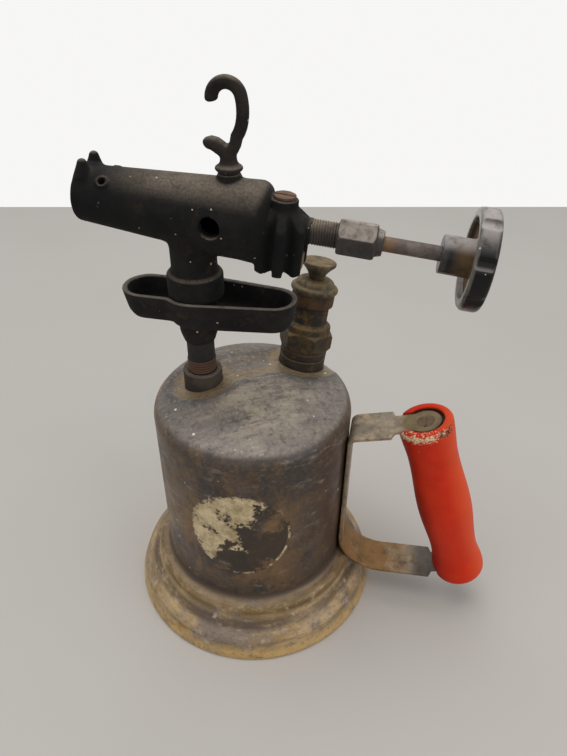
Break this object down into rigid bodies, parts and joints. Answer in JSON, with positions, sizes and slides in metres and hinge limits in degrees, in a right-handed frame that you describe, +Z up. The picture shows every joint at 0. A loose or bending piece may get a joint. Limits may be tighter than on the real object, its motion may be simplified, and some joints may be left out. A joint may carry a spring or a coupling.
{
  "type": "gasoline blowtorch",
  "caption": "Hand-held gasoline blowtorch: brass tank on a flared base, side pump, cast burner over a priming pan, needle valve with handwheel, iron hook and leaning side grip.",
  "frame": {"origin": "the tank axis at the floor, in the plane of the flat under the rolled rim", "axes": "+Z up along the tank axis, +X towards the side grip and handwheel, so the burner mouth points to -X; the pump stands on the +Y side"},
  "size_m": [0.2102, 0.1404, 0.2786],
  "materials": {
    "tank_brass": "tarnished grey-brown with tan dust and paint specks",
    "base_brass": "tarnished, ochre where worn",
    "pump_brass": "dirty ochre",
    "strap_brass": "dull, stained",
    "bare_brass": "plain machined",
    "black_iron": "soot-black with dusty upper faces",
    "rusty_steel": "dull, browned by rust",
    "dull_nickel": "dull grey-brown",
    "black_resin": "gloss moulded, dusty hub",
    "red_paint": "turned wood, red paint chipped to cream at the rim",
    "leather": "oiled",
    "cotton": "twisted strands",
    "packing_cord": "graphited cord",
    "valve_rubber": "moulded"
  },
  "bodies": {
    "torch": {"tank_shell": "tank_brass", "base_skirt": "base_brass", "tank_bottom": "base_brass", "filler_bush": "bare_brass", "burner_boss": "black_iron", "feed_pipe": "rusty_steel", "suction_tube": "bare_brass", "wick": "cotton", "priming_pan": "black_iron", "burner_casting": "black_iron", "jet": "bare_brass", "top_plug": "rusty_steel", "rear_plug": "rusty_steel", "packing": "packing_cord", "packing_nut": "dull_nickel", "iron_hook": "black_iron", "pump_bush": "pump_brass", "pump_gasket": "leather", "pump_head": "pump_brass", "pump_barrel": "bare_brass", "pump_cap": "pump_brass", "check_body": "bare_brass", "check_spring": "rusty_steel", "check_keeper": "bare_brass", "handle_bracket": "strap_brass", "handle_grip": "red_paint", "handle_screw": "rusty_steel", "handle_nut": "rusty_steel"},
    "needle": {"valve_needle": "rusty_steel"},
    "valve_stem": {"valve_spindle": "rusty_steel", "handwheel": "black_resin", "wheel_nut": "rusty_steel"},
    "plunger": {"pump_rod": "rusty_steel", "pump_knob": "pump_brass", "leather_washer": "bare_brass", "cup_leather": "leather", "plunger_nut": "bare_brass"},
    "check_valve": {"check_disc": "valve_rubber"},
    "filler_seal": {"filler_gasket": "leather"},
    "filler_stopper": {"filler_plug": "bare_brass"}
  },
  "joints": [
    {"name": "valve_lift", "type": "slide", "parent": "torch", "child": "needle", "axis": [0.9963, 0, -0.0854], "range_m": [0, 0.00225]},
    {"name": "wheel_turn", "type": "hinge", "parent": "needle", "child": "valve_stem", "pos_m": [0.07364, 0, 0.2161], "axis": [0.9963, 0, -0.0854], "range_deg": [0, 540]},
    {"name": "pump_stroke", "type": "slide", "parent": "torch", "child": "plunger", "axis": [0.1053, 0.1591, 0.9816], "range_m": [0, 0.06]},
    {"name": "check_lift", "type": "slide", "parent": "torch", "child": "check_valve", "axis": [-0.1053, -0.1591, -0.9816], "range_m": [0, 0.0015], "stiffness_N_per_m": 60, "deforming": ["check_spring"]},
    {"name": "filler_drop", "type": "slide", "parent": "torch", "child": "filler_seal", "axis": [0, 0, -1], "range_m": [0, 0.01]},
    {"name": "filler_turn", "type": "hinge", "parent": "filler_seal", "child": "filler_stopper", "pos_m": [0, 0, 0.018], "axis": [0, 0, -1], "range_deg": [0, 1800]}
  ],
  "couplings": [
    {"joint": "wheel_turn", "follows": "valve_lift", "rad_per_m": 4188.8},
    {"joint": "filler_turn", "follows": "filler_drop", "rad_per_m": 3141.6}
  ]
}
